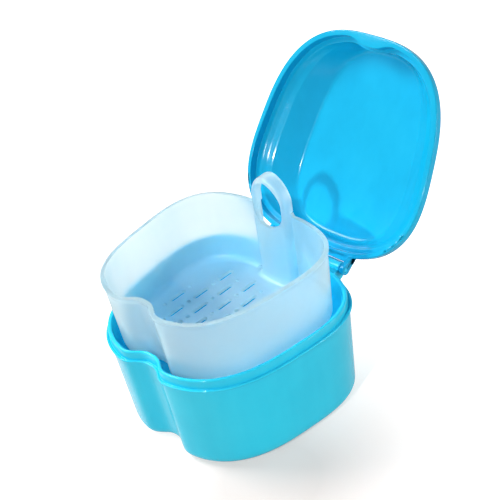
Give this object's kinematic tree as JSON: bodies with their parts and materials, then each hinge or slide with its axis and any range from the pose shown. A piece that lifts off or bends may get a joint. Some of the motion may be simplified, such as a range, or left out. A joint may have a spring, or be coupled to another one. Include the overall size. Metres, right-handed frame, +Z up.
{
  "type": "denture case",
  "caption": "Hinged denture case with a notched front, a domed lid and a strainer basket that lifts out by a loop handle.",
  "frame": {"origin": "middle of the foot's flat underside", "axes": "+Z up, +Y back towards the hinge, +X to the right of someone facing the notch"},
  "size_m": [0.1008, 0.1666, 0.1234],
  "materials": {
    "blue_plastic": "glossy moulded polypropylene",
    "frosted_plastic": "frosted, translucent"
  },
  "bodies": {
    "base": {"base_case": "blue_plastic", "hinge_pin": "blue_plastic"},
    "lid": {"lid": "blue_plastic"},
    "basket": {"basket": "frosted_plastic"}
  },
  "joints": [
    {"name": "lid_hinge", "type": "hinge", "parent": "base", "child": "lid", "pos_m": [0, 0.0514, 0.044], "axis": [1, 0, 0], "range_deg": [0, 126]},
    {"name": "basket_lift", "type": "slide", "parent": "base", "child": "basket", "axis": [0, 0, 1], "range_m": [-0.0363, 0]}
  ],
  "couplings": [
    {"joint": "basket_lift", "follows": "lid_hinge", "m_per_rad": -0.0165}
  ]
}
